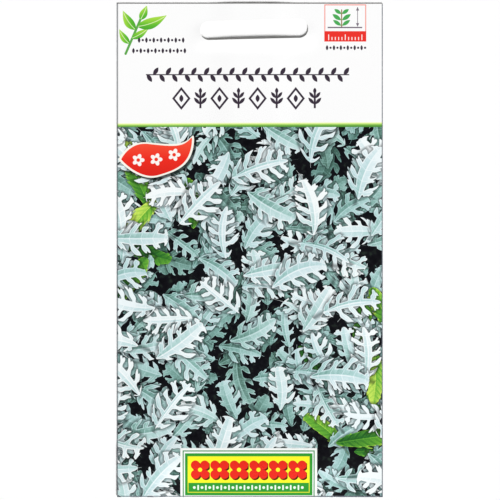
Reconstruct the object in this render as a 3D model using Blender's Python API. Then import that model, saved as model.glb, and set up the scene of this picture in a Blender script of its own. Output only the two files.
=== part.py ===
"""Sealed paper seed packet with a punched hang slot, lying on its back.

The packet is one die-cut sheet. Both side panels fold behind the front and overlap in a glued back seam,
the bottom flap folds up over them, and the header is glued flat and punched. Loose seeds fill out the pocket.
Frame: metres, +Z up out of the printed front, +Y towards the header, origin under the middle of the back.
"""

import math
import random

import bmesh
import bpy
from mathutils import Matrix, Vector

MM = 0.001

# The closed packet
WIDTH = 80 * MM
HEIGHT = 148.5 * MM
RIGHT = WIDTH / 2
BOTTOM, TOP = -HEIGHT / 2, HEIGHT / 2

# The sheet, and the room that it leaves for glue between two plies
PAPER = 0.12 * MM
GLUE_ROOM = 0.15 * MM
PLY = PAPER + GLUE_ROOM

# Folds, measured to the middle of the paper
SIDE_RADIUS = PLY / 2
FLAP_RADIUS = PLY
FOLD_STEPS = 4

# Back seam: the left panel runs in under the front, over the right panel's edge
SEAM_LEFT = -4 * MM
SEAM_RIGHT = 6 * MM
SEAM_EASE = 3.5 * MM

# Bottom flap, folded up over the back
FLAP_REACH = 14 * MM
FLAP_INSET = 1.5 * MM
FLAP_TAPER = 0.93
CORNER_NOTCH = 1 * MM

# Hang slot, punched through the header a little off the middle and a little askew, and the punch's bar
SLOT_WIDTH = 32.4 * MM
SLOT_HEIGHT = 5.6 * MM
SLOT_CORNER = 2.6 * MM
SLOT_RIGHT_OF_MIDDLE = 1.3 * MM
SLOT_BELOW_TOP = 7.8 * MM
SLOT_TILT = math.radians(1.4)
PUNCH_REACH = 5 * MM
CORNER_STEPS = 6

# Pocket, filled out by the seeds
POCKET_TOP = TOP - 26 * MM
POCKET_RISE = 1.2 * MM
FULL_HALF_WIDTH = 22 * MM
FULL_FROM = BOTTOM + 11 * MM
FULL_TO = BOTTOM + 42 * MM

# Glue: film thickness, the films' reach to each side, and how far they stop short of an edge or the slot
GLUE = 0.05 * MM
HEADER_GLUE_HALF_WIDTH = 36 * MM
FLAP_GLUE_HALF_WIDTH = 34 * MM
EDGE_GLUE_MARGIN = 1 * MM
SLOT_GLUE_MARGIN = 1.2 * MM
SEAM_GLUE_MARGIN = 1.5 * MM
FLAP_GLUE_MARGIN = 3 * MM

# Seeds
SEED_COUNT = 52
SEED_LENGTH = 2.3 * MM
SEED_THICKNESS = 0.7 * MM
SEED_SIDES = 7
SEED_RINGS = 5
SEED_CLEARANCE = 0.12 * MM
SEED_HALF_FIELD = 23 * MM
SEED_FROM = BOTTOM + 10.5 * MM
SEED_TO = BOTTOM + 44 * MM
SEED_SPACING = 2.6 * MM


def ease(value, start, end):
    """0 before start, 1 past end, with a smooth turn between; start may lie above end."""
    t = min(max((value - start) / (end - start), 0.0), 1.0)
    return t * t * (3 - 2 * t)


def flap_lift(y):
    """How many plies the bottom flap lifts everything that lies on it."""
    return ease(y, BOTTOM + FLAP_REACH + SEAM_EASE, BOTTOM + FLAP_REACH)


def seam_lift(x):
    """1 where the left panel lies over the right one's edge."""
    return ease(x, SEAM_LEFT - SEAM_EASE, SEAM_LEFT)


def pocket(x, y):
    """How far the pocket is filled out here, from 0 to 1."""
    across = ease(abs(x), RIGHT - SIDE_RADIUS, FULL_HALF_WIDTH)
    along = ease(y, BOTTOM, FULL_FROM) * ease(y, POCKET_TOP, FULL_TO)
    return across * along


def right_back(x, y):
    """Height of the middle of the paper in the right back panel."""
    return PAPER / 2 + PLY * flap_lift(y)


def left_back(x, y):
    return right_back(x, y) + PLY * seam_lift(x)


def front(x, y):
    """Height of the middle of the paper in the front panel. The seam shows where nothing fills it out."""
    fill = pocket(x, y)
    over_seam = seam_lift(x) * ease(x, SEAM_RIGHT + SEAM_EASE, SEAM_RIGHT) * (1 - fill)
    return right_back(x, y) + PLY * (1 + over_seam) + POCKET_RISE * fill


def steps(start, end, count):
    """Count + 1 even stops from start to end."""
    return [start + (end - start) * i / count for i in range(count + 1)]


def joined(*runs):
    """Runs of stops one after another, without the repeated ends."""
    stops = list(runs[0])
    for run in runs[1:]:
        stops += run[1:]
    return stops


def back_stops(side):
    """Stops across one back panel, from its free edge to its side fold."""
    edge = side * (RIGHT - PAPER / 2 - SIDE_RADIUS)
    if side > 0:
        return joined(steps(SEAM_LEFT, SEAM_RIGHT, 2), steps(SEAM_RIGHT, edge, 6))
    ramp = steps(SEAM_LEFT, SEAM_LEFT - SEAM_EASE, 4)
    return joined(steps(SEAM_RIGHT, SEAM_LEFT, 2), ramp, steps(ramp[-1], edge, 5))


def front_stops():
    """Stops across the front panel, with one at each side of the flap's root."""
    edge = RIGHT - PAPER / 2 - SIDE_RADIUS
    root = RIGHT - FLAP_INSET
    left_part = joined([-edge, -root], steps(-root, SEAM_LEFT - SEAM_EASE, 9))
    seam_part = joined(
        steps(SEAM_LEFT - SEAM_EASE, SEAM_LEFT, 4),
        steps(SEAM_LEFT, SEAM_RIGHT, 3),
        steps(SEAM_RIGHT, SEAM_RIGHT + SEAM_EASE, 4),
    )
    right_part = joined(steps(SEAM_RIGHT + SEAM_EASE, root, 8), [root, edge])
    return joined(left_part, seam_part, right_part)


def row_stops():
    """Stops up the packet, from the bottom fold to the top edge."""
    flap_end = BOTTOM + FLAP_REACH
    return joined(
        [BOTTOM + PAPER / 2 + FLAP_RADIUS, BOTTOM + CORNER_NOTCH],
        steps(BOTTOM + CORNER_NOTCH, flap_end, 6),
        steps(flap_end, flap_end + SEAM_EASE, 4),
        steps(flap_end + SEAM_EASE, POCKET_TOP, 15),
        steps(POCKET_TOP, TOP, 3),
    )


def side_fold(side, y):
    """Points round a side fold at height y up the packet, from the back to the front."""
    middle = Vector((side * (RIGHT - PAPER / 2 - SIDE_RADIUS), y, right_back(0, y) + SIDE_RADIUS))
    for i in range(1, FOLD_STEPS):
        angle = math.pi * i / FOLD_STEPS
        yield middle + SIDE_RADIUS * Vector((side * math.sin(angle), 0, -math.cos(angle)))


def wrap_row(y):
    """One row of the wrapped sheet, from the left panel's free edge round the front to the right panel's."""
    left = [Vector((x, y, left_back(x, y))) for x in back_stops(-1)]
    face = [Vector((x, y, front(x, y))) for x in front_stops()]
    right = [Vector((x, y, right_back(x, y))) for x in back_stops(1)]
    return left + list(side_fold(-1, y)) + face + list(side_fold(1, y))[::-1] + right[::-1]


def flap_rows(roots):
    """Rows of the bottom flap, each with one point for every root point on the front panel's lower edge."""
    middle = BOTTOM + PAPER / 2 + FLAP_RADIUS
    for i in range(1, FOLD_STEPS + 1):
        angle = math.pi * i / FOLD_STEPS
        y = middle - FLAP_RADIUS * math.sin(angle)
        height = (1 + math.cos(angle)) / 2
        yield [Vector((p.x, y, PAPER / 2 + (p.z - PAPER / 2) * height)) for p in roots]
    for y in steps(middle, BOTTOM + FLAP_REACH, 3)[1:]:
        narrow = 1 + (FLAP_TAPER - 1) * (y - middle) / (BOTTOM + FLAP_REACH - middle)
        yield [Vector((p.x * narrow, y, PAPER / 2)) for p in roots]


def bridge(bm, lower, upper):
    """Faces between two rows of vertices, outwards where the rows run to the right up the front."""
    for a, b, c, d in zip(lower, lower[1:], upper[1:], upper):
        bm.faces.new((a, b, c, d))


def material(name, colour, roughness):
    mat = bpy.data.materials.new(name)
    mat.use_nodes = True
    shader = mat.node_tree.nodes["Principled BSDF"]
    shader.inputs["Base Color"].default_value = (*colour, 1)
    shader.inputs["Roughness"].default_value = roughness
    shader.inputs["Metallic"].default_value = 0
    return mat


def add_object(name, bm, mat):
    mesh = bpy.data.meshes.new(name)
    bm.to_mesh(mesh)
    bm.free()
    mesh.materials.append(mat)
    obj = bpy.data.objects.new(name, mesh)
    bpy.context.scene.collection.objects.link(obj)
    return obj


def thicken(obj, thickness):
    solid = obj.modifiers.new("Paper thickness", "SOLIDIFY")
    solid.thickness = thickness
    solid.offset = 0
    solid.use_even_offset = True


def slot_cutter():
    """Rounded bar that the punch drives through every ply of the header."""
    bm = bmesh.new()
    corner_x, corner_y = SLOT_WIDTH / 2 - SLOT_CORNER, SLOT_HEIGHT / 2 - SLOT_CORNER
    ring = []
    for sign_x, sign_y, start in ((1, 1, 0), (-1, 1, 90), (-1, -1, 180), (1, -1, 270)):
        for turn in steps(start, start + 90, CORNER_STEPS):
            angle = math.radians(turn)
            x = sign_x * corner_x + SLOT_CORNER * math.cos(angle)
            y = sign_y * corner_y + SLOT_CORNER * math.sin(angle)
            ring.append(bm.verts.new((x, y, -PUNCH_REACH)))
    base = bm.faces.new(ring)
    raised = bmesh.ops.extrude_face_region(bm, geom=[base])["geom"]
    far_end = [v for v in raised if isinstance(v, bmesh.types.BMVert)]
    bmesh.ops.translate(bm, vec=(0, 0, 2 * PUNCH_REACH), verts=far_end)
    bmesh.ops.recalc_face_normals(bm, faces=bm.faces)
    place = Matrix.Translation((SLOT_RIGHT_OF_MIDDLE, TOP - SLOT_BELOW_TOP, 0))
    bmesh.ops.transform(bm, matrix=place @ Matrix.Rotation(SLOT_TILT, 4, "Z"), verts=bm.verts)
    cutter = add_object("slot_punch", bm, material("punch steel", (0.5, 0.5, 0.5), 0.4))
    cutter.hide_render = True
    cutter.display_type = "WIRE"
    return cutter


def packet_paper(mat, cutter):
    """The folded sheet: front, side folds, overlapping back panels and bottom flap, with the slot punched."""
    bm = bmesh.new()
    rows = [[bm.verts.new(p) for p in wrap_row(y)] for y in row_stops()]
    first = len(back_stops(-1)) + FOLD_STEPS - 1
    last = first + len(front_stops())
    bridge(bm, rows[0][first:last], rows[1][first:last])
    for lower, upper in zip(rows[1:], rows[2:]):
        bridge(bm, lower, upper)
    roots = rows[0][first + 1 : last - 1]
    above = roots
    for points in flap_rows([v.co.copy() for v in roots]):
        below = [bm.verts.new(p) for p in points]
        bridge(bm, below, above)
        above = below
    bmesh.ops.delete(bm, geom=[v for v in bm.verts if not v.link_faces], context="VERTS")
    bmesh.ops.triangulate(bm, faces=bm.faces, quad_method="FIXED")
    paper = add_object("packet_paper", bm, mat)
    thicken(paper, PAPER)
    punch = paper.modifiers.new("Hang slot", "BOOLEAN")
    punch.object = cutter
    punch.operation = "DIFFERENCE"


def glue_film(name, mat, across, up, height):
    """A thin film of dried glue over a grid of stops, midway between two plies."""
    bm = bmesh.new()
    rows = [[bm.verts.new((x, y, height(x, y))) for x in across] for y in up]
    for lower, upper in zip(rows, rows[1:]):
        bridge(bm, lower, upper)
    bmesh.ops.triangulate(bm, faces=bm.faces, quad_method="FIXED")
    thicken(add_object(name, bm, mat), GLUE)


def header_glue(x, y):
    """Height of the glue between the header's plies."""
    return front(x, y) - PLY / 2


def seam_glue(x, y):
    return right_back(x, y) + PLY / 2


def flap_glue(x, y):
    return right_back(x, y) - PLY / 2


def glue_films(mat):
    """The films that close the packet: header above and below the slot, back seam and bottom flap."""
    flap_end = BOTTOM + FLAP_REACH
    over_flap_end = steps(flap_end, flap_end + SEAM_EASE, 4)
    glue_foot = BOTTOM + FLAP_GLUE_MARGIN
    slot_half = SLOT_HEIGHT / 2 + SLOT_GLUE_MARGIN
    slot_middle = TOP - SLOT_BELOW_TOP
    above_slot, below_slot = slot_middle + slot_half, slot_middle - slot_half
    across_header = joined(
        [-HEADER_GLUE_HALF_WIDTH, SEAM_LEFT - SEAM_EASE],
        steps(SEAM_LEFT - SEAM_EASE, SEAM_LEFT, 4),
        [SEAM_LEFT, SEAM_RIGHT],
        steps(SEAM_RIGHT, SEAM_RIGHT + SEAM_EASE, 4),
        [SEAM_RIGHT + SEAM_EASE, HEADER_GLUE_HALF_WIDTH],
    )
    across_seam = [SEAM_LEFT + SEAM_GLUE_MARGIN, SEAM_RIGHT - SEAM_GLUE_MARGIN]
    up_seam = joined([glue_foot, flap_end], over_flap_end, [flap_end + SEAM_EASE, below_slot])
    across_flap = [-FLAP_GLUE_HALF_WIDTH, FLAP_GLUE_HALF_WIDTH]
    films = (
        ("header_glue_upper", across_header, [above_slot, TOP - EDGE_GLUE_MARGIN], header_glue),
        ("header_glue_lower", across_header, [POCKET_TOP + SLOT_GLUE_MARGIN, below_slot], header_glue),
        ("seam_glue", across_seam, up_seam, seam_glue),
        ("flap_glue", across_flap, [glue_foot, flap_end - FLAP_GLUE_MARGIN], flap_glue),
    )
    for name, across, up, height in films:
        glue_film(name, mat, across, up, height)


def seed_places():
    """Where the seeds lie: thickest at the foot of the pocket, none closer than a seed's length."""
    rng = random.Random(11)
    places = []
    while len(places) < SEED_COUNT:
        x = rng.uniform(-SEED_HALF_FIELD, SEED_HALF_FIELD)
        y = SEED_FROM + (SEED_TO - SEED_FROM) * rng.random() ** 1.7
        turn = rng.uniform(0, math.pi)
        if all(math.hypot(x - a, y - b) > SEED_SPACING for a, b, _ in places):
            places.append((x, y, turn))
    return places


def seed_rest(x, y, turn):
    """Height of a lying seed's axis over the highest ply under it."""
    reach = SEED_LENGTH / 2
    ends = [(x + k * reach * math.cos(turn), y + k * reach * math.sin(turn)) for k in (-1, -0.5, 0, 0.5, 1)]
    under = max(left_back(a, b) if a <= SEAM_RIGHT else right_back(a, b) for a, b in ends)
    return under + PAPER / 2 + SEED_CLEARANCE + SEED_THICKNESS / 2


def seed(name, mat, x, y, turn, rng):
    """One lying seed: a blunt spindle, fuller towards its foot."""
    bm = bmesh.new()
    length = SEED_LENGTH * rng.uniform(0.88, 1.0)
    rings = []
    for i in range(1, SEED_RINGS + 1):
        t = i / (SEED_RINGS + 1)
        radius = SEED_THICKNESS / 2 * math.sin(math.pi * t**0.85) ** 0.6
        ring = []
        for k in range(SEED_SIDES):
            angle = 2 * math.pi * k / SEED_SIDES
            point = (length * (t - 0.5), radius * math.cos(angle), radius * math.sin(angle))
            ring.append(bm.verts.new(point))
        rings.append(ring)
    for near, far in zip(rings, rings[1:]):
        for k in range(SEED_SIDES):
            after = (k + 1) % SEED_SIDES
            bm.faces.new((near[k], near[after], far[after], far[k]))
    for ring, end in ((rings[0], -0.5), (rings[-1], 0.5)):
        tip = bm.verts.new((end * length, 0, 0))
        for k in range(SEED_SIDES):
            bm.faces.new((ring[k], ring[(k + 1) % SEED_SIDES], tip))
    bmesh.ops.recalc_face_normals(bm, faces=bm.faces)
    bmesh.ops.triangulate(bm, faces=bm.faces)
    obj = add_object(name, bm, mat)
    obj.location = (x, y, seed_rest(x, y, turn))
    obj.rotation_euler = (0, 0, turn)


def seeds(mat):
    rng = random.Random(23)
    for number, (x, y, turn) in enumerate(seed_places(), 1):
        seed(f"seed_{number:02d}", mat, x, y, turn, rng)


def main():
    for obj in list(bpy.data.objects):
        bpy.data.objects.remove(obj, do_unlink=True)
    packet_paper(material("coated paper", (0.93, 0.93, 0.92), 0.4), slot_cutter())
    glue_films(material("dried glue", (0.86, 0.82, 0.68), 0.35))
    seeds(material("seed husk", (0.21, 0.14, 0.08), 0.7))


main()
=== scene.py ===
"""Looks of the sealed seed packet: its folded printed sheet, glue and seeds, lit as on a copy stand."""

import math

import bpy
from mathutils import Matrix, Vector

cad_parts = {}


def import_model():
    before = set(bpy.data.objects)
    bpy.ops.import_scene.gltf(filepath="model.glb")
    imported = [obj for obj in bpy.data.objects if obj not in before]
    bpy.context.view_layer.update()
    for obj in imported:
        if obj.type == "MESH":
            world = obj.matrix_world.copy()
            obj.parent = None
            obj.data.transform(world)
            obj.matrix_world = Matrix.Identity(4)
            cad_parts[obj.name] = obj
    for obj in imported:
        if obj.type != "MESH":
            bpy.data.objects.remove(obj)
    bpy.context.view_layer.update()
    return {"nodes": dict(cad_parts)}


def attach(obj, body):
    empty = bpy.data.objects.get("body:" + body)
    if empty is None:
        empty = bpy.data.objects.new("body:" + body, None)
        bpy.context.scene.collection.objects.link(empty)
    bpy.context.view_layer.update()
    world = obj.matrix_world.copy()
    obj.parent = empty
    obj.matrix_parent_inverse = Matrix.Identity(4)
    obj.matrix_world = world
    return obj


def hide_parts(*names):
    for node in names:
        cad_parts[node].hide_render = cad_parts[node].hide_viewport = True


MM = 0.001

# The packet, as its construction has it
WIDTH = 80 * MM
HEIGHT = 148.5 * MM
RIGHT = WIDTH / 2
TOP = HEIGHT / 2
BOTTOM = -HEIGHT / 2
PAPER = 0.12 * MM
PLY = 0.27 * MM

# The folds at the sides and the foot, by the radius of the paper's middle, and the bottom flap
SIDE_RADIUS = PLY / 2
FLAP_RADIUS = PLY
SIDE_EDGE = RIGHT - PAPER / 2 - SIDE_RADIUS
FLAP_REACH = 14 * MM
FLAP_INSET = 1.5 * MM
FLAP_TAPER = 0.93
CORNER_NOTCH = 1 * MM

# The back seam's lap, and how far the lift of the left panel and of the front runs out beside it
SEAM_LEFT = -4 * MM
SEAM_RIGHT = 6 * MM
SEAM_EASE = 3.5 * MM
FRONT_EASE = 9 * MM

# The hang slot
SLOT_WIDTH = 32.4 * MM
SLOT_HEIGHT = 5.6 * MM
SLOT_CORNER = 2.6 * MM
SLOT_MIDDLE = Vector((1.3 * MM, TOP - 7.8 * MM, 0))
SLOT_TILT = math.radians(1.4)

# The swelling of the pocket, and the part of it that is full
POCKET_TOP = TOP - 26 * MM
POCKET_RISE = 1.2 * MM
FULL_HALF_WIDTH = 22 * MM
FULL_FROM = BOTTOM + 11 * MM
FULL_TO = BOTTOM + 42 * MM

# The print: the rule between header and picture, and how far the front's ink runs round the folds
RULE_TOP = 38.2 * MM
RULE_FOOT = 37.15 * MM
BLEED = 1.6 * MM

# The lip that the punch has lifted under the slot
LIP_RISE = 0.4 * MM
LIP_REACH = 4 * MM

# The camera: straight above a point just off the packet's middle, with the photograph's width in view
FRAME_WIDTH = 150.53 * MM
FRAME_MIDDLE = Vector((0.03 * MM, 0.14 * MM, 0))
LENS = 220
SENSOR = 36

# How near points lie, in metres, that are made one
WELD = 1e-6


class Field:
    """One output of a node, which plain arithmetic extends with Math nodes."""

    def __init__(self, graph, socket):
        self.graph = graph
        self.socket = socket

    def math(self, operation, *others):
        sockets = dict(enumerate((self, *others)))
        return self.graph.node("ShaderNodeMath", {"operation": operation}, sockets)[0]

    def reflected(self, operation, other):
        return self.graph.node("ShaderNodeMath", {"operation": operation}, {0: other, 1: self})[0]

    def __add__(self, other):
        return self.math("ADD", other)

    def __sub__(self, other):
        return self.math("SUBTRACT", other)

    def __mul__(self, other):
        return self.math("MULTIPLY", other)

    def __truediv__(self, other):
        return self.math("DIVIDE", other)

    def __pow__(self, other):
        return self.math("POWER", other)

    def __rsub__(self, other):
        return self.reflected("SUBTRACT", other)

    def __rtruediv__(self, other):
        return self.reflected("DIVIDE", other)

    def __neg__(self):
        return self.math("MULTIPLY", -1)

    def __abs__(self):
        return self.math("ABSOLUTE")

    def __lt__(self, other):
        return self.math("LESS_THAN", other)

    def __gt__(self, other):
        return self.math("GREATER_THAN", other)

    __radd__ = __add__
    __rmul__ = __mul__

    def least(self, other):
        return self.math("MINIMUM", other)

    def most(self, other):
        return self.math("MAXIMUM", other)

    def floor(self):
        return self.math("FLOOR")

    def part(self):
        return self.math("FRACT")

    def sin(self):
        return self.math("SINE")

    def cos(self):
        return self.math("COSINE")

    def clamped(self):
        return self.graph.node("ShaderNodeClamp", {}, {"Value": self})[0]

    def ease(self, start, end):
        """0 before start, 1 past end, with a smooth turn between; start may lie above end."""
        sockets = {"Value": self, "From Min": start, "From Max": end}
        return self.graph.node("ShaderNodeMapRange", {"interpolation_type": "SMOOTHSTEP"}, sockets)[0]


def shown_socket(sockets, key):
    """The socket of that number or name, among those that the node shows."""
    shown = [s for s in sockets if s.enabled]
    return shown[key] if isinstance(key, int) else next(s for s in shown if s.name == key)


class Outputs:
    """A node's outputs, by number or name."""

    def __init__(self, graph, made):
        self.graph = graph
        self.made = made

    def __getitem__(self, key):
        return Field(self.graph, shown_socket(self.made.outputs, key))


class Graph:
    """Adds nodes to one tree."""

    def __init__(self, tree):
        self.tree = tree

    def node(self, kind, settings=None, sockets=None):
        """One node: its settings first, a ramp's stops too, then the values or links of its sockets."""
        made = self.tree.nodes.new(kind)
        for name, value in (settings or {}).items():
            if name == "stops":
                self.set_stops(made.color_ramp, value)
            else:
                setattr(made, name, value)
        for key, value in (sockets or {}).items():
            socket = shown_socket(made.inputs, key)
            if isinstance(value, Field):
                self.tree.links.new(value.socket, socket)
            elif value is not None:
                socket.default_value = value
        return Outputs(self, made)

    @staticmethod
    def set_stops(ramp, stops):
        while len(ramp.elements) < len(stops):
            ramp.elements.new(0.5)
        for element, (place, colour) in zip(ramp.elements, stops):
            element.position = place
            element.color = colour

    def scaled(self, vector, factor):
        return self.node("ShaderNodeVectorMath", {"operation": "SCALE"}, {0: vector, "Scale": factor})[0]

    def number(self, value):
        """A plain number as a field."""
        output = self.node("ShaderNodeValue").made.outputs[0]
        output.default_value = value
        return Field(self, output)

    def noise(self, place, scale, detail):
        return self.node("ShaderNodeTexNoise", {}, {"Vector": place, "Scale": scale, "Detail": detail})[0]

    def point(self, x, y, z=0.0):
        return self.node("ShaderNodeCombineXYZ", {}, {0: x, 1: y, 2: z})[0]

    def axes(self, vector):
        parts = self.node("ShaderNodeSeparateXYZ", {}, {0: vector})
        return parts[0], parts[1], parts[2]


def srgb(red, green, blue):
    """A colour given as the eye reads it, 0 to 255, as the linear colour that nodes take."""
    linear = []
    for part in (red / 255, green / 255, blue / 255):
        linear.append(part / 12.92 if part <= 0.04045 else ((part + 0.055) / 1.055) ** 2.4)
    return (*linear, 1.0)


def along(place, start, runs):
    """Turns a count of grid cells into a distance: each run is a length and its number of cells."""
    distance, passed = start, 0
    for length, cells in runs:
        distance = distance + ((place - passed) / cells).clamped() * length
        passed += cells
    return distance


class Shape:
    """Heights of the packet's plies as fields of a place on it, from the tree's named sizes."""

    def __init__(self, graph, sizes):
        self.graph = graph
        self.paper, self.ply = sizes["Paper"], sizes["Ply"]
        self.rise, self.dent = sizes["Pocket rise"], sizes["Dent depth"]
        self.seed = sizes["Seed"]

    def right_back(self, y):
        flap_end = BOTTOM + FLAP_REACH
        return self.paper / 2 + self.ply * y.ease(flap_end + SEAM_EASE, flap_end)

    def seam_lift(self, x):
        return x.ease(SEAM_LEFT - SEAM_EASE, SEAM_LEFT)

    def fill(self, x, y):
        across = abs(x).ease(RIGHT - SIDE_RADIUS, FULL_HALF_WIDTH)
        return across * y.ease(BOTTOM, FULL_FROM) * y.ease(POCKET_TOP, FULL_TO)

    def dents(self, x, y):
        """0 to 1: soft hollows that cross the filled pocket, steeper towards its corners."""
        slanted = self.graph.point(x * 0.8 + y * 0.3, y * 0.45 - x * 0.15, self.seed * 0.37)
        return self.graph.noise(slanted, 60.0, 1.5).ease(0.62, 0.34)

    def slot_lip(self, x, y):
        """How far the punch has lifted the paper below the slot."""
        off_slot = (y - SLOT_MIDDLE.y + SLOT_HEIGHT / 2) / LIP_REACH
        along_slot = abs(x - SLOT_MIDDLE.x).ease(SLOT_WIDTH / 2 + LIP_REACH, SLOT_WIDTH / 2 - LIP_REACH)
        return LIP_RISE * along_slot * (off_slot + 1).ease(0, 1) * off_slot.ease(1.25, 0.3)

    def front(self, x, y):
        fill = self.fill(x, y)
        over_seam = x.ease(SEAM_LEFT - FRONT_EASE, SEAM_LEFT) * x.ease(SEAM_RIGHT + FRONT_EASE, SEAM_RIGHT)
        over_seam = over_seam * (1 - fill)
        pressed = self.rise * fill - self.dent * fill * self.dents(x, y)
        return self.right_back(y) + self.ply * (over_seam + 1) + pressed + self.slot_lip(x, y)


# How many of the grid's cells each strip of the sheet gets: across it, up it and down its flap
LEFT_CELLS = 34
BLEED_CELLS = 2
FOLD_CELLS = 6
CORNER_CELLS = 2
ROOT_CELLS = 96
RIGHT_CELLS = 32
NOTCH_CELLS = 1
PICTURE_CELLS = 110
RULE_CELLS = 1
HEADER_CELLS = 34
FLAP_CELLS = 14

# Lengths along the flat sheet
FOLD_LENGTH = math.pi * SIDE_RADIUS
FLAP_ROOT = RIGHT - FLAP_INSET
FRONT_FOOT = BOTTOM + PAPER / 2 + FLAP_RADIUS
FLAP_LENGTH = BOTTOM + FLAP_REACH - FRONT_FOOT
# The cut that parts the flap's fold from each of the front's lower corners
CORNER_CUT = 0.12 * MM


def grid_cells(graph, columns, rows):
    """A flat grid, and the fields that count its cells from the lower left corner."""
    sockets = {
        "Size X": float(columns),
        "Size Y": float(rows),
        "Vertices X": columns + 1,
        "Vertices Y": rows + 1,
    }
    grid = graph.node("GeometryNodeMeshGrid", {}, sockets)["Mesh"]
    x, y, _ = graph.axes(graph.node("GeometryNodeInputPosition")[0])
    return grid, x + columns / 2, y + rows / 2


def keep_sheet_place(graph, geometry, u, v):
    """Stores each corner's place on the flat sheet, which the print follows."""
    settings = {"data_type": "FLOAT2", "domain": "CORNER"}
    sockets = {"Geometry": geometry, "Name": "sheet", "Value": graph.point(u, v)}
    return graph.node("GeometryNodeStoreNamedAttribute", settings, sockets)[0]


def wrapped_panels(graph, shape):
    """The front, folded back at both sides into the overlapping back panels."""
    left = SIDE_EDGE + SEAM_RIGHT - BLEED
    right = SIDE_EDGE - SEAM_LEFT - BLEED
    corner = SIDE_EDGE - FLAP_ROOT - CORNER_CUT
    across = (
        (left, LEFT_CELLS),
        (BLEED, BLEED_CELLS),
        (FOLD_LENGTH, FOLD_CELLS),
        (corner, CORNER_CELLS),
        (CORNER_CUT, 1),
        (2 * FLAP_ROOT, ROOT_CELLS),
        (CORNER_CUT, 1),
        (corner, CORNER_CELLS),
        (FOLD_LENGTH, FOLD_CELLS),
        (BLEED, BLEED_CELLS),
        (right, RIGHT_CELLS),
    )
    up = (
        (BOTTOM + CORNER_NOTCH - FRONT_FOOT, NOTCH_CELLS),
        (RULE_FOOT - BOTTOM - CORNER_NOTCH, PICTURE_CELLS),
        (RULE_TOP - RULE_FOOT, RULE_CELLS),
        (TOP - RULE_TOP, HEADER_CELLS),
    )
    columns = sum(cells for _, cells in across)
    rows = sum(cells for _, cells in up)
    grid, column, row = grid_cells(graph, columns, rows)
    u = along(column, -(SIDE_EDGE + FOLD_LENGTH + BLEED + left), across)
    beyond = abs(u)
    square_corner = (beyond > FLAP_ROOT + CORNER_CUT / 2) * (row < NOTCH_CELLS / 2)
    y = along(row, FRONT_FOOT, up) - square_corner * (FRONT_FOOT - BOTTOM)
    notch = (beyond > SIDE_EDGE + FOLD_LENGTH / 2) * (row < NOTCH_CELLS)
    sockets = {"Geometry": grid, "Selection": notch}
    kept = graph.node("GeometryNodeDeleteGeometry", {"domain": "FACE"}, sockets)[0]
    kept = keep_sheet_place(graph, kept, u, y)

    turn = ((beyond - SIDE_EDGE) / SIDE_RADIUS).most(0).least(math.pi)
    reach = beyond.least(SIDE_EDGE) + turn.sin() * SIDE_RADIUS - (beyond - SIDE_EDGE - FOLD_LENGTH).most(0)
    x = reach * u.math("SIGN")
    on_front = beyond < SIDE_EDGE
    on_left_back = u < -(SIDE_EDGE + FOLD_LENGTH)
    back = shape.right_back(y)
    folded = back + (turn.cos() + 1) * SIDE_RADIUS
    front_lift = on_front * (shape.front(x, y) - back - shape.ply)
    back_lift = on_left_back * shape.seam_lift(x) * shape.ply
    place = graph.point(x, y, folded + front_lift + back_lift)
    return graph.node("GeometryNodeSetPosition", {}, {"Geometry": kept, "Position": place})[0]


def bottom_flap(graph, shape):
    """The flap, folded from the front's lower edge up over the back."""
    grid, column, row = grid_cells(graph, ROOT_CELLS, FOLD_CELLS + FLAP_CELLS)
    root_x = along(column, -FLAP_ROOT, ((2 * FLAP_ROOT, ROOT_CELLS),))
    turn = (row / FOLD_CELLS).clamped() * math.pi
    run = along(row - FOLD_CELLS, 0, ((FLAP_LENGTH, FLAP_CELLS),))
    kept = keep_sheet_place(graph, grid, root_x, FRONT_FOOT - turn * FLAP_RADIUS - run)

    x = root_x * (1 - run * (1 - FLAP_TAPER) / FLAP_LENGTH)
    height = shape.front(root_x, graph.number(FRONT_FOOT)) - shape.paper / 2
    z = shape.paper / 2 + height * (turn.cos() + 1) / 2
    place = graph.point(x, FRONT_FOOT - turn.sin() * FLAP_RADIUS + run, z)
    folded = graph.node("GeometryNodeSetPosition", {}, {"Geometry": kept, "Position": place})[0]
    return graph.node("GeometryNodeFlipFaces", {}, {"Mesh": folded})[0]


def joined(graph, *pieces):
    join = graph.node("GeometryNodeJoinGeometry")
    for piece in reversed(pieces):
        graph.tree.links.new(piece.socket, join.made.inputs[0])
    return join[0]


def welded(graph, geometry):
    return graph.node("GeometryNodeMergeByDistance", {}, {"Geometry": geometry, "Distance": WELD})[0]


def given_thickness(graph, sheet, paper):
    """A closed sheet of paper round its middle surface, with its outer face marked."""
    normal = graph.node("GeometryNodeInputNormal")[0]
    half = graph.scaled(normal, paper * -0.5)
    inner = graph.node("GeometryNodeSetPosition", {}, {"Geometry": sheet, "Offset": half})[0]
    sockets = {"Mesh": inner, "Offset": normal, "Offset Scale": paper, "Individual": False}
    raised = graph.node("GeometryNodeExtrudeMesh", {}, sockets)
    settings = {"data_type": "FLOAT", "domain": "FACE"}
    sockets = {"Geometry": raised["Mesh"], "Name": "outside", "Value": raised["Top"]}
    marked = graph.node("GeometryNodeStoreNamedAttribute", settings, sockets)[0]
    lining = graph.node("GeometryNodeFlipFaces", {}, {"Mesh": inner})[0]
    return welded(graph, joined(graph, marked, lining))


# The punch: its length, how far below the packet it starts, and the steps of each round corner
PUNCH_LENGTH = 8 * MM
PUNCH_BELOW = 3 * MM
PUNCH_STEPS = 10


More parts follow.
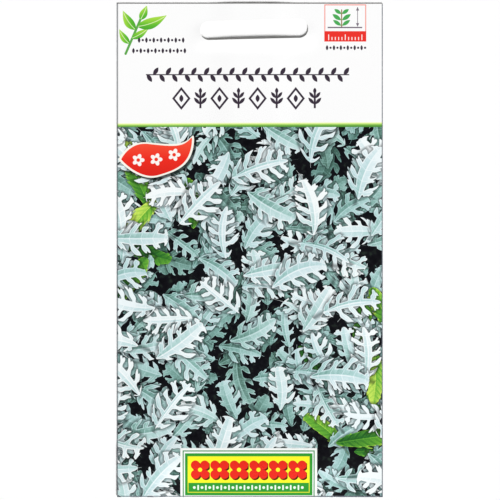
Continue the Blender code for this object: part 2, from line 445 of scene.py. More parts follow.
def slot_punch(graph, sizes, core):
    """The bar that the slot is punched with."""
    bar = {"Width": sizes["Slot width"], "Height": sizes["Slot height"]}
    outline = graph.node("GeometryNodeCurvePrimitiveQuadrilateral", {}, bar)[0]
    corners = {"Curve": outline, "Radius": sizes["Slot corner"], "Limit Radius": True, "Count": PUNCH_STEPS}
    rounded = graph.node("GeometryNodeFilletCurve", {"mode": "POLY"}, corners)[0]
    foot = graph.node("GeometryNodeFillCurve", {"mode": "NGONS"}, {"Curve": rounded})[0]
    up = {"Mesh": foot, "Offset": (0.0, 0.0, 1.0), "Offset Scale": PUNCH_LENGTH, "Individual": False}
    side = graph.node("GeometryNodeExtrudeMesh", {}, up)["Mesh"]
    closed = joined(graph, side, graph.node("GeometryNodeFlipFaces", {}, {"Mesh": foot})[0])
    place = {
        "Geometry": welded(graph, closed),
        "Translation": SLOT_MIDDLE - Vector((0, 0, PUNCH_BELOW)),
        "Rotation": (0, 0, SLOT_TILT),
    }
    placed = graph.node("GeometryNodeTransform", {}, place)[0]
    return graph.node("GeometryNodeSetMaterial", {}, {"Geometry": placed, "Material": core})[0]


def number_inputs(tree, sizes):
    """Gives a node tree a number input for each name."""
    for name, size in sizes.items():
        socket = tree.interface.new_socket(name, in_out="INPUT", socket_type="NodeSocketFloat")
        socket.default_value = size


SHEET_SIZES = {
    "Paper": PAPER,
    "Ply": PLY,
    "Pocket rise": POCKET_RISE,
    "Dent depth": 0.16 * MM,
    "Slot width": SLOT_WIDTH,
    "Slot height": SLOT_HEIGHT,
    "Slot corner": SLOT_CORNER,
    "Seed": 5.0,
}


def sheet_tree(header, picture, back, core):
    """The die-cut sheet, folded, given its thickness, inked by zone, and punched."""
    tree = bpy.data.node_groups.new("Folded packet sheet", "GeometryNodeTree")
    number_inputs(tree, SHEET_SIZES)
    tree.interface.new_socket("Geometry", in_out="OUTPUT", socket_type="NodeSocketGeometry")
    graph = Graph(tree)
    given = graph.node("NodeGroupInput")
    sizes = {name: given[name] for name in SHEET_SIZES}
    shape = Shape(graph, sizes)

    panels = wrapped_panels(graph, shape)
    flap = bottom_flap(graph, shape)
    sheet = welded(graph, joined(graph, panels, flap))
    solid = given_thickness(graph, sheet, sizes["Paper"])

    place = graph.node("GeometryNodeInputNamedAttribute", {"data_type": "FLOAT_VECTOR"}, {"Name": "sheet"})[0]
    outside = graph.node("GeometryNodeInputNamedAttribute", {"data_type": "FLOAT"}, {"Name": "outside"})[0]
    u, v, _ = graph.axes(place)
    printed = (abs(u) < SIDE_EDGE + FOLD_LENGTH + BLEED) * (v > BOTTOM - BLEED) * outside
    zones = (
        (core, None),
        (back, outside),
        (picture, printed),
        (header, printed * (v > RULE_FOOT)),
    )
    for finish, where in zones:
        sockets = {"Geometry": solid, "Selection": where, "Material": finish}
        solid = graph.node("GeometryNodeSetMaterial", {}, sockets)[0]
    cut = graph.node("GeometryNodeMeshBoolean", {"operation": "DIFFERENCE", "solver": "EXACT"})
    tree.links.new(solid.socket, cut.made.inputs["Mesh 1"])
    tree.links.new(slot_punch(graph, sizes, core).socket, cut.made.inputs["Mesh 2"])
    real = graph.node("GeometryNodeRealizeInstances", {}, {"Geometry": cut["Mesh"]})[0]
    out = graph.node("NodeGroupOutput")
    tree.links.new(real.socket, out.made.inputs["Geometry"])
    return tree


# Edges bent by more than this are shaded sharp
SHARP_ANGLE = math.radians(50)


def piece_from_tree(name, tree):
    """Runs a geometry tree and keeps its result as a plain mesh object."""
    source = bpy.data.objects.new(name + "_source", bpy.data.meshes.new(name + "_source"))
    bpy.context.scene.collection.objects.link(source)
    run = source.modifiers.new("Make", "NODES")
    run.node_group = tree
    for item in tree.interface.items_tree:
        if item.in_out == "INPUT" and item.socket_type == "NodeSocketFloat":
            run[item.identifier] = SHEET_SIZES[item.name]
    depsgraph = bpy.context.evaluated_depsgraph_get()
    mesh = bpy.data.meshes.new_from_object(source.evaluated_get(depsgraph), depsgraph=depsgraph)
    bpy.data.objects.remove(source, do_unlink=True)
    mesh.name = name
    mesh.shade_smooth()
    mesh.set_sharp_from_angle(angle=SHARP_ANGLE)
    piece = bpy.data.objects.new(name, mesh)
    bpy.context.scene.collection.objects.link(piece)
    return piece


def mixed(graph, factor, under, over, blend="MIX"):
    """One colour laid over another, as far as the factor says."""
    settings = {"data_type": "RGBA", "blend_type": blend}
    return graph.node("ShaderNodeMix", settings, {"Factor": factor, "A": under, "B": over})[0]


def ramp(graph, value, stops):
    """A colour for each value, from stops of a place and a colour as the eye reads it."""
    settings = {"stops": [(place, srgb(*colour)) for place, colour in stops]}
    return graph.node("ShaderNodeValToRGB", settings, {0: value})[0]


# Half the width, in millimetres, over which ink fades out at an edge
INK_EDGE = 0.05
# Added to a shape's distance, this keeps the shape from showing
OUT_OF_REACH = 4


class Print:
    """Ink laid on the flat sheet, in millimetres from the middle of the front or, as seen there, the back."""

    def __init__(self, graph, ground, behind=False):
        self.graph = graph
        self.colour = srgb(*ground)
        u, v, _ = graph.axes(graph.node("ShaderNodeUVMap", {"uv_map": "sheet"})[0])
        self.x = u / MM
        self.y = v / MM
        if behind:
            self.flap = v < FRONT_FOOT
            panel_x = (abs(u) - 2 * SIDE_EDGE - FOLD_LENGTH) * u.math("SIGN")
            flap_y = 2 * FRONT_FOOT - math.pi * FLAP_RADIUS - v
            self.x = (panel_x - self.flap * (panel_x + u)) / MM
            self.y = (v + self.flap * (flap_y - v)) / MM

    def lay(self, mask, colour):
        over = colour if isinstance(colour, Field) else srgb(*colour)
        self.colour = mixed(self.graph, mask, self.colour, over)

    def fill(self, distance, colour, within=None):
        """Inks a shape whose distance is negative inside, or its part within a mask."""
        mask = distance.ease(INK_EDGE, -INK_EDGE)
        self.lay(mask if within is None else mask * within, colour)

    def noise(self, scale, detail):
        return self.graph.noise(self.graph.point(self.x, self.y), scale, detail)

    def about(self, x, y, turn=0.0):
        """The place measured from a point, turned to an axis."""
        return turned_place(self.x - x, self.y - y, turn)

    def box(self, left, foot, right, top):
        x, y = self.about((left + right) / 2, (foot + top) / 2)
        return box_distance(x, y, (right - left) / 2, (top - foot) / 2)

    def stroke(self, start, end, half_width):
        """A straight stroke with round ends."""
        run, rise = end[0] - start[0], end[1] - start[1]
        x, y = self.about(*start)
        t = ((x * run + y * rise) / (run * run + rise * rise)).clamped()
        return length(x - t * run, y - t * rise) - half_width

    def leaf(self, base, tip, half_width, bend=0.0):
        """A pointed leaf from base to tip, and how far along it and across it a place lies."""
        run, rise = tip[0] - base[0], tip[1] - base[1]
        size = math.hypot(run, rise)
        x, y = self.about(*base, math.atan2(rise, run))
        t = (x / size).clamped()
        across = y - t * (1 - t) * (4 * bend)
        profile = (t ** 0.75 * math.pi).sin() * half_width
        beyond = (abs(x - size / 2) - size / 2).most(0)
        return abs(across) - profile + beyond, t, across


def length(x, y):
    return (x * x + y * y) ** 0.5


def turned_place(x, y, turn):
    if not turn:
        return x, y
    c, s = math.cos(turn), math.sin(turn)
    return x * c + y * s, y * c - x * s


def box_distance(x, y, half_width, half_height, corner=0.0):
    out_x = abs(x) - (half_width - corner)
    out_y = abs(y) - (half_height - corner)
    if not corner:
        return out_x.most(out_y)
    return length(out_x.most(0), out_y.most(0)) + out_x.most(out_y).least(0) - corner


def lens(x, y, middle, turn, half_length, half_width):
    """A small pointed leaf round its middle."""
    run, across = turned_place(x - middle[0], y - middle[1], turn)
    return abs(across) - (1 - (run / half_length) ** 2) * half_width


def repeated(x, pitch, count):
    """The place within a cell of a row that starts at 0, every second cell, and whether it is in the row."""
    cell = x / pitch
    odd = (cell.floor() * 0.5).part() * 2
    return (cell.part() - 0.5) * pitch, odd, (x > 0) * (x < pitch * count)


def in_turn(odd, even_shape, odd_shape):
    """Two shapes in turn along a row."""
    return (even_shape + odd * OUT_OF_REACH).least(odd_shape + (1 - odd) * OUT_OF_REACH)


DARK_INK = (58, 48, 62)
PAPER_WHITE = (253, 253, 253)


def sprig(ink):
    """A green sprig of five leaves."""
    foot, top = (-37.4, 59.2), (-33.0, 69.4)
    stem = ink.stroke(foot, top, 0.36)
    ink.fill(stem, (96, 170, 78))
    leaves = (
        ((-36.2, 62.2), (-39.3, 66.6), 1.05, 0.35),
        ((-35.7, 63.8), (-30.4, 67.0), 1.05, -0.3),
        ((-34.4, 66.4), (-38.2, 72.2), 1.4, 0.45),
        ((-33.9, 67.4), (-25.0, 70.8), 1.65, -0.6),
        (top, (-31.0, 73.7), 1.15, -0.15),
    )
    green = (
        (0.0, (46, 140, 48)),
        (0.45, (98, 190, 52)),
        (0.8, (168, 222, 70)),
        (1.0, (214, 240, 130)),
    )
    for base, tip, half_width, bend in leaves:
        shape, t, across = ink.leaf(base, tip, half_width, bend)
        ink.fill(shape, ramp(ink.graph, t * 0.55 + across * 0.16 + 0.3, green))
        ink.fill((abs(across) - 0.09).most(shape + 0.3), (232, 248, 190))


def seed_row(ink, left, right, height, size=0.85):
    """A dark row of upright grains and dots in turn."""
    pitch = size * 1.3
    x, y = ink.about(left, height)
    cell, odd, within = repeated(x, pitch, round((right - left) / pitch))
    grain = lens(cell, y, (0, 0), math.pi / 2, size, size * 0.46)
    dot = length(cell, y) - size * 0.42
    shape = in_turn(odd, grain, dot)
    ink.fill(shape, DARK_INK, within)


def leaf_garland(ink, left, right, height):
    """A dark garland whose leaves stand up and hang down in turn."""
    count = 32
    pitch = (right - left) / count
    x, y = ink.about(left, height)
    cell, odd, within = repeated(x, pitch, count)
    leaf = lens(cell, y * (odd * 2 - 1), (0.1, 1.0), math.radians(58), 1.42, 0.64)
    shape = leaf.least(abs(y) - 0.17)
    ink.fill(shape, DARK_INK, within)


def folk_band(ink, left, right, height):
    """A dark band of eight motifs in thin strokes: lozenges and sprigs in turn."""
    count, stroke = 8, 0.31
    pitch = (right - left) / count
    x, y = ink.about(left, height)
    cell, odd, within = repeated(x, pitch, count)
    side = abs(cell)
    ring = abs((side + abs(y) * 0.8) * 0.78 - 1.85) - stroke
    lozenge = ring.least(lens(side, abs(y), (0, 0), math.pi / 2, 1.15, 0.62))
    stem = box_distance(cell, y + 0.5, stroke, 2.45)
    lower = lens(side, y, (1.05, -0.75), math.radians(48), 1.35, 0.5)
    upper = lens(side, y, (0.95, 1.0), math.radians(52), 1.2, 0.46)
    bud = lens(cell, y, (0, 2.3), math.pi / 2, 0.95, 0.5)
    plant = stem.least(lower).least(upper).least(bud)
    shape = in_turn(odd, lozenge, plant)
    ink.fill(shape, DARK_INK, within)


def height_sign(ink):
    """A boxed sign of how tall a plant grows: a plain plant, a measuring arrow and a band of ticks."""
    left, right, foot, top = 22.4, 35.0, 62.9, 74.0
    band_top, ground, middle, stem_top = 66.0, 67.1, 27.6, 72.4
    arrow, shaft_top, arrow_top = 32.4, 73.2, 73.5
    grey, leaf_green, red = (120, 108, 122), (76, 172, 88), (238, 52, 44)
    ink.fill(abs(ink.box(left + 0.15, foot + 0.1, right - 0.15, top - 0.1)) - 0.15, (248, 150, 138))
    ink.fill(ink.stroke((middle, ground), (middle, stem_top), 0.17), (150, 120, 70))
    x, y = ink.about(middle, 0)
    for height, reach, half_width in ((68.5, 1.35, 0.55), (70.2, 1.45, 0.62), (71.9, 1.15, 0.55)):
        ink.fill(lens(abs(x), y, (reach, height), math.radians(35), reach * 1.1, half_width), leaf_green)
    ink.fill(ink.box(left + 1.0, ground - 0.2, right - 1.2, ground + 0.2), grey)
    ink.fill(ink.box(arrow - 0.1, ground + 0.5, arrow + 0.1, shaft_top), grey)
    x, y = ink.about(arrow, (ground + arrow_top) / 2)
    reach = (arrow_top - ground) / 2 - 0.2
    from_tip = reach - abs(y)
    ink.fill((abs(x) - from_tip * 0.45).most(from_tip - 1.1).most(-from_tip), grey)
    ink.fill(ink.box(left, foot, right, band_top), red)
    x, y = ink.about(left + 0.8, foot)
    cell, _, within = repeated(x, 1.0, 11)
    tall = ((x / 5).part() < 0.2) * 0.75
    ticks = (abs(cell) - 0.13).most(y - 1.35 - tall).most(0.4 - y)
    ink.fill(ticks, (255, 250, 246), within)


def green_rule(ink):
    """The rule that closes the header: pale yellow, then green, turned a little against the edge."""
    half = 0.62
    _, y = ink.about(0, 37.9, math.radians(0.25))
    stops = (
        (0.0, (84, 150, 58)),
        (0.3, (128, 186, 80)),
        (0.6, (200, 238, 124)),
        (0.82, (250, 255, 190)),
        (1.0, (252, 253, 246)),
    )
    ink.lay(y < half, ramp(ink.graph, (y + half) / (2 * half), stops))


# A reach in from the edges that leaves no place out
EVERYWHERE = 1000.0
LEAF_INPUTS = {
    "Across": 0.0,
    "Up": 0.0,
    "Tilt": 0.0,
    "Cell": 16.0,
    "Seed": 0.0,
    "Fingers": 4.5,
    "Cut": 0.7,
    "Slim": 1.0,
    "Turn": 0.0,
    "Spread": 1.0,
    "Bare": 0.4,
    "Edge reach": EVERYWHERE,
}


def scattered_leaves():
    """A layer of scattered fingered leaves: where they are, how light, and where their shade falls."""
    tree = bpy.data.node_groups.new("Scattered fingered leaves", "ShaderNodeTree")
    number_inputs(tree, LEAF_INPUTS)
    for name in ("Leaf", "Light", "Shade", "Chance"):
        tree.interface.new_socket(name, in_out="OUTPUT", socket_type="NodeSocketFloat")
    graph = Graph(tree)
    given = graph.node("NodeGroupInput")
    value = {name: given[name] for name in LEAF_INPUTS}

    # The cell that a place lies in, and its dice
    tilt_c, tilt_s = value["Tilt"].cos(), value["Tilt"].sin()
    shift_x, shift_y = value["Seed"] * 0.37, value["Seed"] * 0.61
    x = (value["Across"] * tilt_c + value["Up"] * tilt_s) / value["Cell"] + shift_x
    y = (value["Up"] * tilt_c - value["Across"] * tilt_s) / value["Cell"] + shift_y
    row = y.floor()
    stagger = (row * 0.5).part()
    column = (x + stagger).floor()
    corner = graph.point(column, row, value["Seed"])
    dice = graph.node("ShaderNodeTexWhiteNoise", {"noise_dimensions": "3D"}, {"Vector": corner})
    chance = dice["Value"]
    first, second, third = graph.axes(dice["Color"])

    # Whether a leaf grows there, from the cell's middle on the sheet
    from_x = (column + 0.5 - stagger - shift_x) * value["Cell"]
    from_y = (row + 0.5 - shift_y) * value["Cell"]
    middle_x = from_x * tilt_c - from_y * tilt_s
    middle_y = from_y * tilt_c + from_x * tilt_s
    clump = graph.noise(graph.point(middle_x, middle_y), 0.06, 1.0)
    from_edge = length(abs(middle_x) - 40, middle_y + 14 + middle_x.math("SIGN") * 22)
    grows = (clump + (third - 0.5) * 0.1 > value["Bare"]) * (from_edge < value["Edge reach"])

    # How far along the leaf and across it
    place_x = x + stagger - column - 0.5 + (second - 0.5) * 0.1
    place_y = y - row - 0.5 + (third - 0.5) * 0.1
    turn = value["Turn"] - value["Tilt"] + (first - 0.5) * value["Spread"] * (2 * math.pi)
    c, s = turn.cos(), turn.sin()
    size = 0.98 - chance * 0.12
    run = (place_x * c + place_y * s) / size + 0.5
    across = (place_y * c - place_x * s) / size * value["Slim"]
    across = across + (second - 0.5) * 0.9 * ((run - 0.5) ** 2 - 0.08)
    inside = run.clamped()
    side = abs(across)
    envelope = inside ** 0.6 * (1.0 - inside) ** 0.42 * 0.66

    # Its fingers, each with a length and a lean of its own
    cycle = (inside - side * (side * 1.1 + 0.3)) * value["Fingers"] + third
    finger_place = graph.point(cycle.floor(), across.math("SIGN"), chance * 40)
    finger_dice = graph.node("ShaderNodeTexWhiteNoise", {"noise_dimensions": "3D"}, {"Vector": finger_place})
    longer, wider, later = graph.axes(finger_dice["Color"])
    out = (side / envelope.most(0.02)).clamped()
    signed = cycle.part() - 0.5 + (later - 0.5) * 0.22 * out
    off_finger = abs(signed)
    tip_notch = off_finger.ease(0.13, 0.0) * 0.1 * (wider > 0.4)
    reach = envelope * (0.62 + longer * 0.42 - tip_notch) - side
    lobing = (out * 13 + later * 6).cos() * 0.045
    spread = out ** 1.5 * (0.13 + wider * 0.1) + lobing + 0.17
    finger_side = (spread - off_finger) / value["Fingers"] * 0.85
    finger = reach.math("SMOOTH_MIN", finger_side, 0.03)
    web = envelope * (1 - value["Cut"] * (1.04 - third * 0.3)) - side
    depth = finger.math("SMOOTH_MAX", web, 0.025)

    leaf = depth.ease(-0.001, 0.005) * grows
    rim = depth.ease(0.026, 0.004)
    rib = side.ease(0.018, 0.003) * run.ease(1.0, 0.6)
    vein = off_finger.ease(0.06, 0.01) * (reach > 0.02)
    half_light = across.ease(-0.02, 0.02)
    light = chance * 0.3 + rim * 0.2 + rib * 0.2 + vein * 0.1
    light = light - half_light * 0.12 + signed * out * 0.28 + out * 0.12 + inside * 0.2 + 0.2
    shade = depth.ease(-0.075, 0.004) * grows
    made = graph.node("NodeGroupOutput").made
    for name, field in (("Leaf", leaf), ("Light", light), ("Shade", shade), ("Chance", second)):
        tree.links.new(field.socket, made.inputs[name])
    return tree


SILVER = (
    (0.0, (40, 66, 58)),
    (0.13, (76, 112, 100)),
    (0.27, (132, 175, 166)),
    (0.42, (180, 215, 211)),
    (0.61, (213, 234, 236)),
    (0.9, (250, 255, 255)),
)
FRESH = (
    (0.0, (14, 52, 22)),
    (0.35, (44, 112, 42)),
    (0.7, (110, 184, 58)),
    (1.0, (206, 236, 96)),
)
SOIL = (
    (0.35, (2, 2, 7)),
    (0.55, (12, 11, 18)),
    (0.75, (36, 48, 40)),
)
# What falls on a leaf: shade from those above it, specks of grain and some of the sky's cool light
SHADE, SHADE_DEPTH = (8, 12, 16), 0.66
GRAIN_DEPTH = 0.2
COOL, COOL_DEPTH = (186, 220, 232), 0.22
# Each layer: cell, seed, fingers, cut, slim, turn, spread, bare below, reach, lightness, colours
LAYERS = (
    (14.0, 3.0, 3.5, 0.66, 1.00, 0.4, 1.0, 0.38, EVERYWHERE, 0.44, SILVER),
    (12.5, 7.0, 3.5, 0.68, 1.05, 1.9, 1.0, 0.38, EVERYWHERE, 0.56, SILVER),
    (15.5, 11.0, 4.5, 0.74, 1.00, 1.2, 0.9, 0.40, EVERYWHERE, 0.70, SILVER),
    (17.0, 13.0, 8.0, 0.26, 1.75, 0.9, 1.0, 0.30, 28.0, 0.95, FRESH),
    (13.5, 17.0, 4.0, 0.76, 1.00, 1.5, 0.9, 0.41, EVERYWHERE, 0.86, SILVER),
    (16.0, 23.0, 4.5, 0.80, 0.95, 1.8, 0.8, 0.43, EVERYWHERE, 1.02, SILVER),
    (19.0, 29.0, 9.0, 0.26, 1.90, 2.2, 0.8, 0.36, 22.0, 1.25, FRESH),
    (14.5, 31.0, 4.0, 0.80, 1.00, 1.3, 0.8, 0.44, EVERYWHERE, 1.18, SILVER),
    (17.0, 41.0, 5.0, 0.82, 0.95, 1.6, 0.7, 0.46, EVERYWHERE, 1.34, SILVER),
    (18.5, 53.0, 5.0, 0.84, 1.00, 1.7, 0.7, 0.49, EVERYWHERE, 1.52, SILVER),
)


def foliage(ink):
    """Silver foliage in layers, darkest at the bottom, over deep gaps, with some fresh green between."""
    graph = ink.graph
    group = scattered_leaves()
    ink.colour = ramp(graph, ink.noise(0.6, 4.0), SOIL)
    grain = ink.noise(2.2, 3.0) - 0.5
    sunlight = ink.noise(0.05, 1.5) * 1.1 + 0.56
    for cell, seed, fingers, cut, slim, turn, spread, bare, reach, lightness, colours in LAYERS:
        sockets = {
            "Across": ink.x,
            "Up": ink.y,
            "Tilt": seed * 0.7,
            "Cell": cell,
            "Seed": seed,
            "Fingers": fingers,
            "Cut": cut,
            "Slim": slim,
            "Turn": turn,
            "Spread": spread,
            "Bare": bare,
            "Edge reach": reach,
        }
        made = graph.node("ShaderNodeGroup", {"node_tree": group}, sockets)
        ink.lay(made["Shade"] * SHADE_DEPTH, SHADE)
        tone = ramp(graph, made["Light"] * lightness * sunlight + grain * GRAIN_DEPTH, colours)
        cool = mixed(graph, made["Chance"] * COOL_DEPTH, tone, srgb(*COOL), "MULTIPLY")
        ink.lay(made["Leaf"], cool)


def flash_shape(ink, shift=0.0, inset=0.0):
    """A leaf shape with a full belly and a drawn-out tip."""
    base, tip = (-39.5, 27.4), (-16.9, 34.3)
    run, rise = tip[0] - base[0], tip[1] - base[1]
    size = math.hypot(run, rise)
    x, y = ink.about(base[0] + shift, base[1] - shift, math.atan2(rise, run))
    t = ((x - inset) / (size - 2 * inset)).clamped()
    belly = t ** 0.72 * (1 - t ** 7) * 5.8
    opening = ((t / 0.42).least(1) * (math.pi / 2)).sin() ** 0.8
    half_width = opening * (1 - t) ** 0.5 * 7.1 - inset
    return abs(y + belly) - half_width + (abs(x - size / 2) - size / 2).most(0)


def red_flash(ink):
    """A red leaf-shaped flash with a pale rim and a soft shadow, bearing three small flowers."""
    ink.lay(flash_shape(ink, shift=0.75).ease(0.35, -0.25) * 0.9, (12, 16, 16))
    ink.fill(flash_shape(ink), (253, 251, 240))
    fall = ((ink.y - 21) / 12).clamped()
    reds = ((0.0, (216, 32, 26)), (0.55, (240, 46, 32)), (1.0, (250, 84, 58)))
    ink.fill(flash_shape(ink, inset=0.5), ramp(ink.graph, fall, reds))
    for middle in ((-33.6, 27.2), (-28.2, 27.4), (-22.8, 28.8)):
        x, y = ink.about(*middle)
        angle = y.math("ARCTAN2", x)
        petals = length(x, y) - (abs((angle * 2.5).cos()) * 0.95 + 0.95)
        ink.fill(petals, (255, 250, 246))
        ink.fill(length(x, y) - 0.55, (240, 60, 40))


def foot_plate(ink):
    """A plate at the foot: white, a green frame, a yellow field with red blossoms, and a green band."""
    green, yellow = (48, 156, 52), (255, 252, 44)
    ink.fill(ink.box(-20.9, -80, 20.2, -59.4), (250, 253, 250))
    ink.fill(abs(ink.box(-20.05, -76.0, 19.3, -60.25)) - 0.17, (64, 148, 84))
    ink.fill(ink.box(-19.5, -73.65, 18.8, -60.95), green)
    ink.fill(abs(ink.box(-18.6, -72.75, 17.85, -61.95)) - 0.14, (220, 228, 60))
    ink.fill(ink.box(-18.55, -69.85, 17.8, -61.95), yellow)
    count, pitch = 6, 5.85
    x, y = ink.about(-17.9, -65.9)
    cell, _, within = repeated(x, pitch, count)
    for shift, colour in ((0.38, (74, 30, 16)), (0.0, (234, 44, 30))):
        side, height = abs(cell - shift), abs(y + shift)
        blossom = (length(side - 1.4, height - 1.4) - 1.38).least(length(side, height) - 1.2)
        ink.fill(blossom, colour, within)
    ink.fill(length(cell, y) - 0.62, yellow, within)
    x, y = ink.about(-17.3, -71.3)
    cell, odd, within = repeated(x, 1.16, 29)
    dot = length(cell, y) - 0.42
    bar = box_distance(cell, y, 0.24, 0.78, 0.2)
    shape = in_turn(odd, dot, bar)
    ink.fill(shape, (240, 252, 238), within)


LEAF_GREEN = (84, 158, 84)
PALE_GREEN = (228, 242, 222)
SOIL_BROWN = (132, 92, 58)


def tile(ink, middle):
    """One rounded sowing tile, and the place within it."""
    x, y = ink.about(*middle)
    outline = box_distance(x, y, 5.8, 5.8, 1.6)
    ink.fill(outline, PALE_GREEN)
    ink.fill(abs(outline + 0.2) - 0.16, LEAF_GREEN)
    return x, y


def sowing_tiles(ink):
    """Four tiles: a sun, a drop, a seed's depth and the space between plants."""
    x, y = tile(ink, (-29.5, 47.5))
    angle = y.math("ARCTAN2", x)
    from_middle = length(x, y)
    ray = abs((angle * (4 / math.pi)).part() - 0.5) * from_middle * 0.8 - 0.24
    ray = ray.most(abs(from_middle - 3.4) - 0.8)
    ink.fill((from_middle - 1.8).least(ray), (246, 178, 40))

    x, y = tile(ink, (-16.0, 47.5))
    cone = (abs(x) - (3.7 - y) * 0.46).most(-0.2 - y)
    ink.fill((length(x, y + 1.1) - 2.2).least(cone), (70, 150, 206))
    ink.fill(length(x + 0.7, y + 1.5) - 0.55, (196, 226, 244))

    x, y = tile(ink, (-29.5, 34.0))
    ink.fill(abs(x).most(4.4) - 4.4 + abs(y - 1.2) - 0.2, SOIL_BROWN)
    ink.fill(lens(x, y, (-0.8, -2.4), 0.5, 1.5, 0.7), SOIL_BROWN)
    shaft = box_distance(x - 2.4, y + 0.8, 0.14, 1.7)
    head = (abs(x - 2.4) - (y + 3.0) * 0.6).most(y + 1.8).most(-3.0 - y)
    ink.fill(shaft.least(head), DARK_INK)

    x, y = tile(ink, (-16.0, 34.0))
    plant = box_distance(abs(x) - 2.7, y - 0.4, 0.16, 2.0)
    leaf = lens(abs(abs(x) - 2.7), y, (0.85, 1.3), 0.8, 1.2, 0.42)
    ink.fill(plant.least(leaf), LEAF_GREEN)
    shaft = box_distance(x, y + 3.2, 2.4, 0.13)
    head = (abs(y + 3.2) - (2.9 - abs(x)) * 0.6).most(2.0 - abs(x)).most(abs(x) - 2.9)
    ink.fill(shaft.least(head), DARK_INK)


def month_cells(ink, left, foot):
    """Twelve cells in two rows, some green for sowing and some amber for bloom."""
    pitch, columns = 6.3, 6
    x, y = ink.about(left, foot)
    column, row = x / pitch, y / pitch
    within = (x > 0) * (x < pitch * columns) * (y > 0) * (y < pitch * 2)
    cell = box_distance((column.part() - 0.5) * pitch, (row.part() - 0.5) * pitch, 2.8, 2.8, 0.7)
    month = column.floor() + (1 - row.floor()) * columns
    sown = (month > 1.5) * (month < 4.5)
    blooms = (month > 5.5) * (month < 9.5)
    inside = cell.ease(INK_EDGE, -INK_EDGE) * within
    ink.lay(inside, (240, 244, 238))
    ink.lay(inside * sown, (132, 196, 92))
    ink.lay(inside * blooms, (246, 190, 70))
    ink.fill(abs(cell + 0.12) - 0.12, LEAF_GREEN, within)


def growth_row(ink, ground):
    """Three stages of a growing plant on a line of soil."""
    for middle, height, pairs in ((4.0, 4.0, 1), (15.0, 8.0, 2), (28.5, 12.5, 3)):
        x, y = ink.about(middle, ground)
        plant = box_distance(x, y - height / 2, 0.2, height / 2)
        plant = plant.least(lens(x, y, (0, height + 0.8), math.pi / 2, 1.3, 0.6))
        for pair in range(pairs):
            reach = 1.6 + 0.55 * (pairs - pair)
            level = height * (pair + 1) / (pairs + 0.6) + reach * 0.3
            plant = plant.least(lens(abs(x), y, (reach * 0.85, level), 0.5, reach, 0.28 * reach))
        ink.fill(plant, LEAF_GREEN)
    ink.fill(ink.box(-1.5, ground - 0.35, 36.0, ground), SOIL_BROWN)


def note_lines(ink, left, right, top):
    """Ruled lines for notes."""
    x, y = ink.about(left, top)
    line = abs((y / 5.4).part() - 0.5) * 5.4 - 0.09
    within = (x > 0) * (x < right - left) * (y < 0) * (y > -70)
    ink.fill(line, (150, 184, 160), within)


def flap_band(ink):
    """The flap's pale band with a garland between two rules."""
    ink.lay(ink.flap, PALE_GREEN)
    x, y = ink.about(-33.6, -67.0)
    cell, odd, within = repeated(x, 2.8, 24)
    leaf = lens(cell, y * (odd * 2 - 1), (0.15, 1.25), math.radians(55), 1.6, 0.7)
    garland = leaf.least(abs(y) - 0.2)
    rules = abs(abs(y) - 4.6) - 0.22
    shape = (garland + (1 - within) * OUT_OF_REACH).least(rules)
    ink.fill(shape, LEAF_GREEN, ink.flap)


FOLD_MIDDLE = (SIDE_EDGE + FOLD_LENGTH / 2) / MM
FOOT_FOLD = FRONT_FOOT / MM - 0.2
# The grey painted along each fold as shade, and the pale of the coat's cracked specks
PAINTED_FOLD_SHADE = (88, 94, 104)
CRACKED_PALE = (232, 232, 230)


def fold_shade_and_cracks(ink):
    """The line of each fold: a painted grey shade, heavier towards the right, and paler specks where the coat
    is cracked.
    """
    off_fold = abs(abs(ink.x) - FOLD_MIDDLE).least(abs(ink.y - FOOT_FOLD))
    # Painted shade: a grey line along each fold, heavier towards the right where the key lights the fold,
    # standing in for the edge's shadow
    ink.lay(off_fold.ease(0.46, 0.2) * (ink.x * 0.003 + 0.84), PAINTED_FOLD_SHADE)
    ink.lay(off_fold.ease(0.4, 0.1) * ink.noise(3.2, 3.0).ease(0.56, 0.64) * 0.35, CRACKED_PALE)


def new_material(name):
    """A material, the graph of its nodes and its shader."""
    material = bpy.data.materials.new(name)
    material.use_nodes = True
    return material, Graph(material.node_tree), material.node_tree.nodes["Principled BSDF"]


def feed(graph, shader, colour, roughness, bump):
    """Feeds the shader what changes over a surface."""
    normal = graph.node("ShaderNodeBump", {}, bump)[0]
    for name, field in (("Base Color", colour), ("Roughness", roughness), ("Normal", normal)):
        graph.tree.links.new(field.socket, shader.inputs[name])


def packet_paper(name, colour_of, coated=True):
    """Smooth coated paper with its print, or its bare fibre: soft gloss and a trace of tooth."""
    material, graph, shader = new_material(name)
    shader.inputs["IOR"].default_value = 1.34
    shader.inputs["Coat Roughness"].default_value = 0.18
    shader.inputs["Coat Weight"].default_value = 0.06 if coated else 0.0
    place = graph.node("ShaderNodeTexCoord")["Object"]
    fibre = graph.noise(place, 2600.0, 3.0)
    cloud = graph.noise(place, 90.0, 2.0)
    colour = colour_of(graph, fibre, cloud)
    roughness = cloud * 0.12 + fibre * 0.06 + (0.2 if coated else 0.8)
    bump = {"Strength": 0.12 if coated else 0.5, "Distance": 0.02 * MM, "Height": fibre}
    feed(graph, shader, colour, roughness, bump)
    return material


def header_colour(graph, fibre, cloud):
    ink = Print(graph, PAPER_WHITE)
    sprig(ink)
    seed_row(ink, -33.9, -19.4, 63.3)
    seed_row(ink, -35.6, -19.4, 60.1)
    height_sign(ink)
    seed_row(ink, 22.7, 34.9, 61.0, 0.8)
    leaf_garland(ink, -31.3, 29.9, 52.9)
    folk_band(ink, -23.5, 22.4, 45.75)
    green_rule(ink)
    fold_shade_and_cracks(ink)
    return ink.colour


def picture_colour(graph, fibre, cloud):
    ink = Print(graph, (30, 26, 34))
    foliage(ink)
    red_flash(ink)
    foot_plate(ink)
    fold_shade_and_cracks(ink)
    return ink.colour


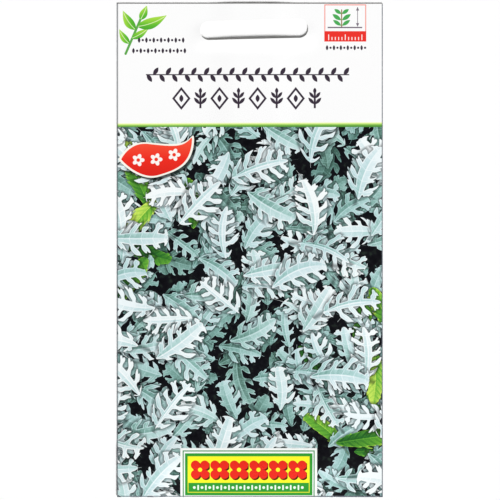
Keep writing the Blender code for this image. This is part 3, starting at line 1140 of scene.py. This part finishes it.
def back_colour(graph, fibre, cloud):
    ink = Print(graph, PAPER_WHITE, behind=True)
    ink.fill(ink.box(-38.5, 56.6, 38.5, 57.5), LEAF_GREEN)
    ink.fill(ink.box(-38.5, 55.7, 38.5, 55.9), LEAF_GREEN)
    sowing_tiles(ink)
    month_cells(ink, -1.5, 40.5)
    growth_row(ink, 21.5)
    note_lines(ink, -36.0, -9.5, 13)
    note_lines(ink, -1.5, 36.0, 13)
    flap_band(ink)
    return mixed(graph, cloud * 0.05, ink.colour, srgb(214, 214, 210))


def core_colour(graph, fibre, cloud):
    return mixed(graph, fibre, srgb(228, 226, 218), srgb(246, 245, 240))


def mottled_finish(name, light, dark, scale, roughness, bump_height):
    """A mottled finish for a small hidden part."""
    material, graph, shader = new_material(name)
    place = graph.node("ShaderNodeTexCoord")["Object"]
    mottle = graph.noise(place, scale, 4.0)
    colour = mixed(graph, mottle.ease(0.35, 0.65), srgb(*dark), srgb(*light))
    bump = {"Strength": 0.6, "Distance": bump_height, "Height": mottle}
    feed(graph, shader, colour, mottle * 0.2 + (roughness - 0.1), bump)
    return material


def dress(nodes, start, material):
    """Gives every frame node whose name begins so a better finish."""
    for name, node in nodes.items():
        if name.startswith(start):
            node.data.materials.clear()
            node.data.materials.append(material)


def floor():
    """A wide pale table under the packet."""
    half, level = 3.0, -0.02 * MM
    corners = [(x * half, y * half, level) for x, y in ((-1, -1), (1, -1), (1, 1), (-1, 1))]
    mesh = bpy.data.meshes.new("table")
    mesh.from_pydata(corners, [], [(0, 1, 2, 3)])
    table = bpy.data.objects.new("table", mesh)
    bpy.context.scene.collection.objects.link(table)
    material, _, shader = new_material("pale table")
    shader.inputs["Base Color"].default_value = (0.99, 0.99, 0.99, 1)
    shader.inputs["Roughness"].default_value = 0.9
    shader.inputs["Specular IOR Level"].default_value = 0.0
    mesh.materials.append(material)


ROOM_LIGHT = 0.15
# The key has its gloss taken off, as through a polariser, and a broad faint light gives the sheen
KEY_LIGHT = 3.7
KEY_ANGLE = math.radians(20)
SHEEN_LIGHT = 0.42
SHEEN_ANGLE = math.radians(75)
KEY_FROM = Vector((0.38, -0.8, 0.78))


def light_and_camera():
    scene = bpy.context.scene
    scene.view_settings.view_transform = "Standard"
    world = bpy.data.worlds.new("soft room")
    world.use_nodes = True
    background = world.node_tree.nodes["Background"]
    background.inputs["Color"].default_value = (1, 1, 1, 1)
    background.inputs["Strength"].default_value = ROOM_LIGHT
    scene.world = world

    for name, power, angle in (("key", KEY_LIGHT, KEY_ANGLE), ("sheen", SHEEN_LIGHT, SHEEN_ANGLE)):
        light = bpy.data.lights.new(name, "SUN")
        light.energy = power
        light.angle = angle
        lamp = bpy.data.objects.new(name, light)
        lamp.rotation_euler = (-KEY_FROM).to_track_quat("-Z", "Y").to_euler()
        lamp.visible_glossy = name != "key"
        scene.collection.objects.link(lamp)

    camera = bpy.data.cameras.new("camera")
    camera.lens = LENS
    camera.sensor_width = SENSOR
    camera.clip_start = 0.01
    camera.clip_end = 20
    eye = bpy.data.objects.new("camera", camera)
    eye.location = FRAME_MIDDLE + Vector((0, 0, FRAME_WIDTH / SENSOR * LENS))
    scene.collection.objects.link(eye)
    scene.camera = eye


def main():
    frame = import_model()
    light_and_camera()
    floor()
    header = packet_paper("printed header", header_colour)
    picture = packet_paper("printed picture", picture_colour)
    back = packet_paper("printed back", back_colour)
    core = packet_paper("bare paper", core_colour, coated=False)
    sheet = piece_from_tree("printed_packet", sheet_tree(header, picture, back, core))
    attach(sheet, "root")
    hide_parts("packet_paper")
    glue = mottled_finish("dried glue", (236, 228, 196), (214, 200, 158), 900, 0.35, 0.01 * MM)
    husk = mottled_finish("seed husk", (142, 112, 74), (74, 52, 32), 1800, 0.7, 0.03 * MM)
    for start, finish in (("header_glue", glue), ("seam_glue", glue), ("flap_glue", glue), ("seed_", husk)):
        dress(frame["nodes"], start, finish)


main()
